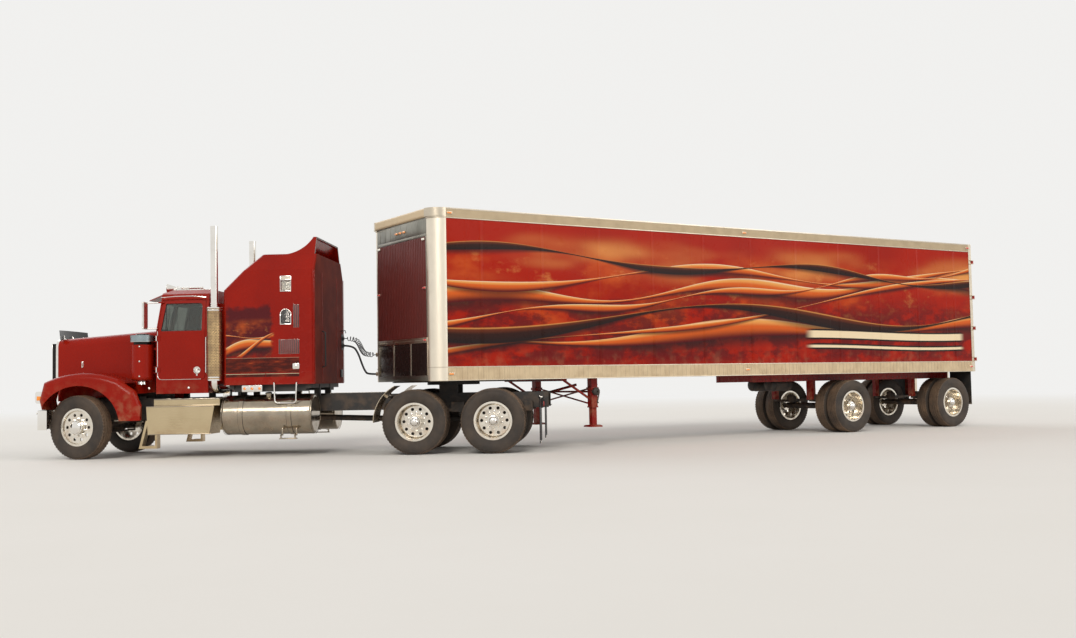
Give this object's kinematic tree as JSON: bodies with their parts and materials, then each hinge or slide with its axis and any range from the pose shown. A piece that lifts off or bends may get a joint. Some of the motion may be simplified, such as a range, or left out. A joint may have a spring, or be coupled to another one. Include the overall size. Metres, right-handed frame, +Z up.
{
  "type": "articulated lorry",
  "caption": "Long-nose road tractor with a tall sleeper, hinged to a closed box semi-trailer on spread axles, parked with the tractor turned.",
  "frame": {"origin": "middle of the parked rig's footprint, on the ground", "axes": "+X forward along the trailer, +Y to the trailer's left, +Z up; the tractor is turned 35.3 degrees to the right about the kingpin"},
  "size_m": [19.1684, 6.8942, 4.11],
  "materials": {
    "cab_paint": "deep red gloss with airbrushed shading",
    "hood_paint": "deep red gloss",
    "trailer_paint": null,
    "rear_door_paint": "deep red sheet",
    "trailer_aluminium": "mill finish rails with close upright seams",
    "running_gear_paint": "red paint, road dirt",
    "polished_aluminium": "polished",
    "bright_chrome": "bright plate",
    "lamp_housing": "bright housing with clear lens",
    "chassis_steel": "black chassis paint",
    "engine_iron": "dull cast iron",
    "floor_wood": "hardwood deck on steel beams",
    "flap_rubber": "black moulded rubber",
    "line_rubber": "dark moulded rubber",
    "tyre_rubber": "road tyre",
    "window_glass": "clear, lightly tinted",
    "cabin_trim": "brown cabin trim"
  },
  "bodies": {
    "tractor": {"frame": "chassis_steel", "front_axle": "chassis_steel", "engine": "engine_iron", "bumper": "bright_chrome", "cab": "cab_paint", "cab_interior": "cabin_trim", "windows": "window_glass", "sleeper": "cab_paint", "sleeper_wing": "cab_paint", "exhaust_stacks": "bright_chrome", "air_cleaners": "bright_chrome", "fuel_tanks": "polished_aluminium", "step_boxes": "polished_aluminium", "drive_axles": "chassis_steel", "fifth_wheel": "chassis_steel", "splash_guards": "flap_rubber"},
    "hood": {"hood": "hood_paint", "grille": "bright_chrome", "headlamps": "lamp_housing"},
    "door_left": {"door_left": "cab_paint", "door_glass_left": "window_glass"},
    "knuckle_left": {"knuckle_left": "chassis_steel"},
    "steer_wheel_left": {"steer_tyre_left": "tyre_rubber", "steer_wheel_left": "polished_aluminium"},
    "door_right": {"door_right": "cab_paint", "door_glass_right": "window_glass"},
    "knuckle_right": {"knuckle_right": "chassis_steel"},
    "steer_wheel_right": {"steer_tyre_right": "tyre_rubber", "steer_wheel_right": "polished_aluminium"},
    "tie_rod": {"tie_rod": "chassis_steel"},
    "drive_front_left": {"drive_front_tyres_left": "tyre_rubber", "drive_front_wheels_left": "polished_aluminium"},
    "drive_front_right": {"drive_front_tyres_right": "tyre_rubber", "drive_front_wheels_right": "polished_aluminium"},
    "drive_rear_left": {"drive_rear_tyres_left": "tyre_rubber", "drive_rear_wheels_left": "polished_aluminium"},
    "drive_rear_right": {"drive_rear_tyres_right": "tyre_rubber", "drive_rear_wheels_right": "polished_aluminium"},
    "trailer": {"trailer_floor": "floor_wood", "trailer_walls": "trailer_paint", "trailer_rails": "trailer_aluminium", "trailer_roof": "trailer_aluminium", "rear_frame": "trailer_aluminium", "coupler": "trailer_aluminium", "landing_gear": "running_gear_paint", "trailer_subframe": "running_gear_paint", "trailer_axles": "chassis_steel", "trailer_flaps": "flap_rubber", "coiled_line": "line_rubber", "wrapped_hose": "line_rubber"},
    "trailer_front_left": {"trailer_front_tyres_left": "tyre_rubber", "trailer_front_wheels_left": "polished_aluminium"},
    "trailer_front_right": {"trailer_front_tyres_right": "tyre_rubber", "trailer_front_wheels_right": "polished_aluminium"},
    "trailer_rear_left": {"trailer_rear_tyres_left": "tyre_rubber", "trailer_rear_wheels_left": "polished_aluminium"},
    "trailer_rear_right": {"trailer_rear_tyres_right": "tyre_rubber", "trailer_rear_wheels_right": "polished_aluminium"},
    "rear_door_left": {"rear_door_left": "rear_door_paint"},
    "rear_door_right": {"rear_door_right": "rear_door_paint"}
  },
  "joints": [
    {"name": "articulation", "type": "hinge", "parent": "tractor", "child": "trailer", "pos_m": [3.22577, 1.50668, 1.18], "axis": [0, 0, 1], "range_deg": [-125.3, 54.7], "deforming": ["coiled_line", "wrapped_hose"]},
    {"name": "hood_tilt", "type": "hinge", "parent": "tractor", "child": "hood", "pos_m": [8.90609, -2.51521, 0.868], "axis": [0.5779, 0.8161, 0], "range_deg": [0, 60]},
    {"name": "door_left_hinge", "type": "hinge", "parent": "tractor", "child": "door_left", "pos_m": [7.8314, -0.53391, 1.77], "axis": [0, 0, -1], "range_deg": [0, 70]},
    {"name": "door_right_hinge", "type": "hinge", "parent": "tractor", "child": "door_right", "pos_m": [6.68031, -2.15965, 1.77], "axis": [0, 0, 1], "range_deg": [0, 70]},
    {"name": "steer_left", "type": "hinge", "parent": "tractor", "child": "knuckle_left", "pos_m": [8.80658, -1.3665, 0.545], "axis": [0, 0, 1], "range_deg": [-21.5, 48.5]},
    {"name": "steer_right", "type": "hinge", "parent": "tractor", "child": "knuckle_right", "pos_m": [7.78955, -2.80291, 0.545], "axis": [0, 0, 1], "range_deg": [-21.5, 48.5]},
    {"name": "tie_rod_turn", "type": "hinge", "parent": "knuckle_left", "child": "tie_rod", "pos_m": [8.70778, -1.25364, 0.429], "axis": [0, 0, 1], "range_deg": [-48.5, 21.5]},
    {"name": "steer_wheel_left_spin", "type": "hinge", "parent": "knuckle_left", "child": "steer_wheel_left", "pos_m": [8.90816, -1.27758, 0.545], "axis": [0.7524, 0.6587, 0], "continuous": true},
    {"name": "steer_wheel_right_spin", "type": "hinge", "parent": "knuckle_right", "child": "steer_wheel_right", "pos_m": [7.68797, -2.89183, 0.545], "axis": [0.7524, 0.6587, 0], "continuous": true},
    {"name": "drive_front_left_spin", "type": "hinge", "parent": "tractor", "child": "drive_front_left", "pos_m": [4.14597, 1.97567, 0.545], "axis": [0.5779, 0.8161, 0], "continuous": true},
    {"name": "drive_front_right_spin", "type": "hinge", "parent": "tractor", "child": "drive_front_right", "pos_m": [3.08907, 0.48295, 0.545], "axis": [0.5779, 0.8161, 0], "continuous": true},
    {"name": "drive_rear_left_spin", "type": "hinge", "parent": "tractor", "child": "drive_rear_left", "pos_m": [3.06867, 2.73844, 0.545], "axis": [0.5779, 0.8161, 0], "continuous": true},
    {"name": "drive_rear_right_spin", "type": "hinge", "parent": "tractor", "child": "drive_rear_right", "pos_m": [2.01176, 1.24572, 0.545], "axis": [0.5779, 0.8161, 0], "continuous": true},
    {"name": "trailer_front_left_spin", "type": "hinge", "parent": "trailer", "child": "trailer_front_left", "pos_m": [-5.60423, 2.42118, 0.545], "axis": [0, 1, 0], "continuous": true},
    {"name": "trailer_front_right_spin", "type": "hinge", "parent": "trailer", "child": "trailer_front_right", "pos_m": [-5.60423, 0.59218, 0.545], "axis": [0, 1, 0], "continuous": true},
    {"name": "trailer_rear_left_spin", "type": "hinge", "parent": "trailer", "child": "trailer_rear_left", "pos_m": [-8.78423, 2.42118, 0.545], "axis": [0, 1, 0], "continuous": true},
    {"name": "trailer_rear_right_spin", "type": "hinge", "parent": "trailer", "child": "trailer_rear_right", "pos_m": [-8.78423, 0.59218, 0.545], "axis": [0, 1, 0], "continuous": true},
    {"name": "rear_door_left_hinge", "type": "hinge", "parent": "trailer", "child": "rear_door_left", "pos_m": [-9.57023, 2.74768, 2.6], "axis": [0, 0, -1], "range_deg": [0, 265]},
    {"name": "rear_door_right_hinge", "type": "hinge", "parent": "trailer", "child": "rear_door_right", "pos_m": [-9.57023, 0.26568, 2.6], "axis": [0, 0, 1], "range_deg": [0, 265]}
  ],
  "couplings": [
    {"joint": "steer_right", "follows": "steer_left", "ratio": 1},
    {"joint": "tie_rod_turn", "follows": "steer_left", "ratio": -1}
  ]
}
